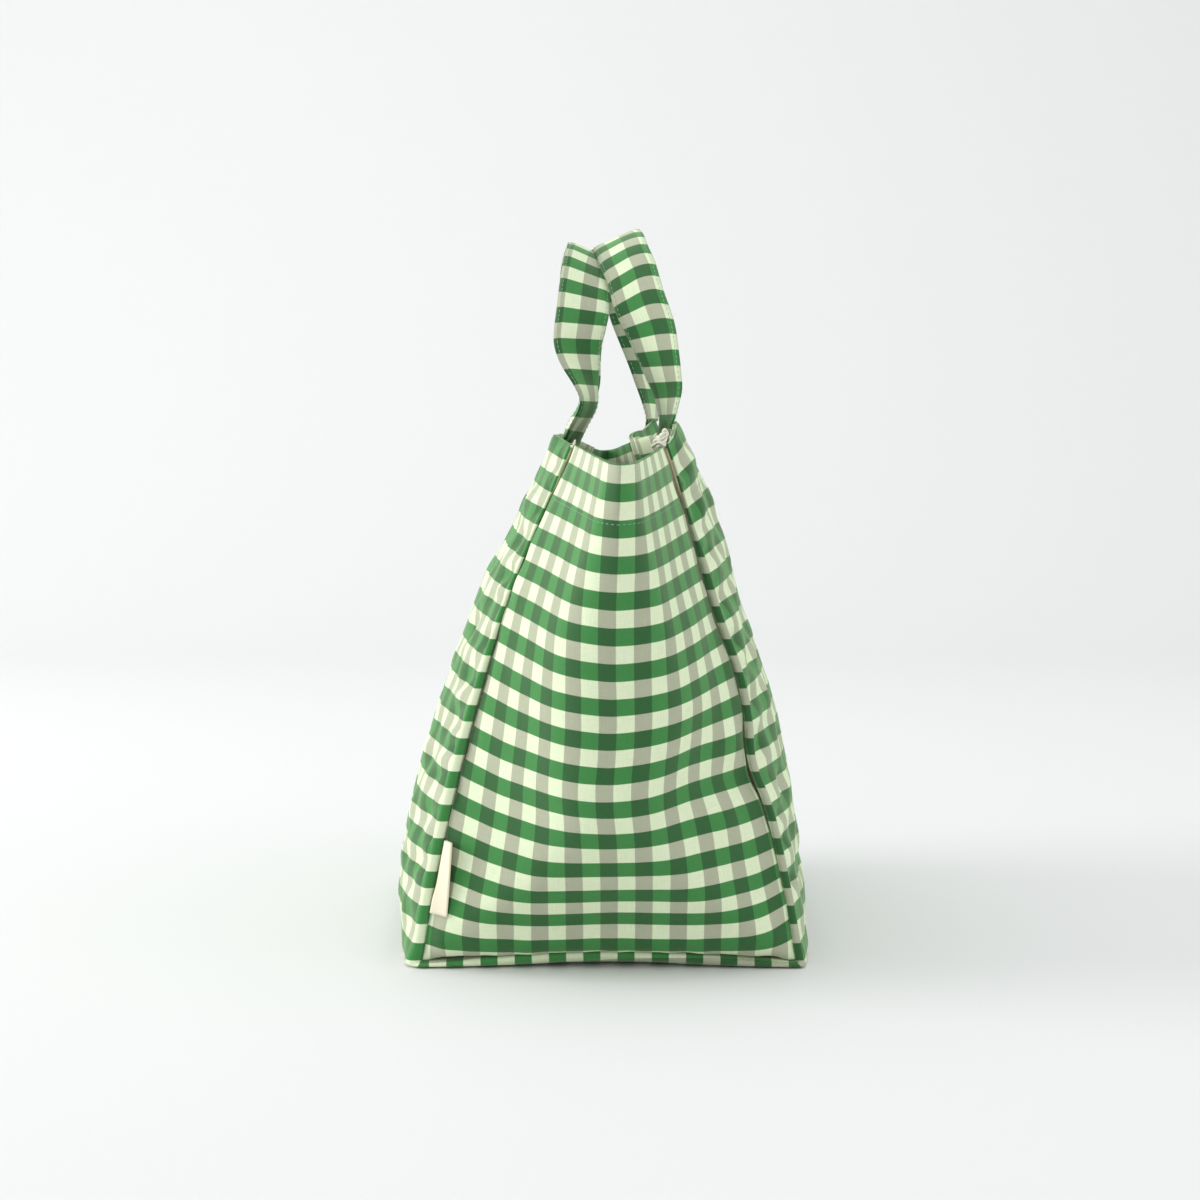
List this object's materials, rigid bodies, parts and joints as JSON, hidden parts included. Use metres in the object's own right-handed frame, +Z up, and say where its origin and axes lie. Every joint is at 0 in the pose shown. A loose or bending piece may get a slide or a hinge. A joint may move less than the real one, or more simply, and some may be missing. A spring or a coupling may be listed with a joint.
{
  "type": "tote bag",
  "caption": "Open-topped cloth tote bag with a flat base, inset gussets whose tops stand out as noses, and flat strap handles that swing out over the rim.",
  "frame": {"origin": "on the floor, under the middle of the base", "axes": "+Z up, +X towards the right-hand gusset (the end with the label), -Y towards the front"},
  "size_m": [0.4486, 0.2272, 0.3946],
  "materials": {
    "check_cloth": "matte woven check, green bands across grey and cream stripes",
    "binding_tape": "matte tape",
    "label_ribbon": "satin ribbon",
    "sewing_thread": "thread"
  },
  "bodies": {
    "bag": {"front_panel": "check_cloth", "back_panel": "check_cloth", "base_panel": "check_cloth", "right_gusset": "check_cloth", "left_gusset": "check_cloth", "front_facing": "check_cloth", "back_facing": "check_cloth", "right_gusset_facing": "check_cloth", "left_gusset_facing": "check_cloth", "front_right_seam_binding": "binding_tape", "back_right_seam_binding": "binding_tape", "base_right_seam_binding": "binding_tape", "front_left_seam_binding": "binding_tape", "back_left_seam_binding": "binding_tape", "base_left_seam_binding": "binding_tape", "front_handle_right_end": "check_cloth", "front_handle_left_end": "check_cloth", "back_handle_right_end": "check_cloth", "back_handle_left_end": "check_cloth", "front_right_corner_tack": "sewing_thread", "back_right_corner_tack": "sewing_thread", "front_left_corner_tack": "sewing_thread", "back_left_corner_tack": "sewing_thread"},
    "front_strap": {"front_handle": "check_cloth"},
    "back_strap": {"back_handle": "check_cloth"},
    "label": {"label_tab": "label_ribbon"}
  },
  "joints": [
    {"name": "front_strap_swing", "type": "hinge", "parent": "bag", "child": "front_strap", "pos_m": [0, -0.02785, 0.28555], "axis": [1, 0, 0], "range_deg": [0, 100]},
    {"name": "back_strap_swing", "type": "hinge", "parent": "bag", "child": "back_strap", "pos_m": [0, 0.02782, 0.28542], "axis": [-1, 0, 0], "range_deg": [0, 100]},
    {"name": "label_flip", "type": "hinge", "parent": "bag", "child": "label", "pos_m": [0.14956, -0.09189, 0.04324], "axis": [0.035, -0.197, -0.9798], "range_deg": [0, 75]}
  ]
}
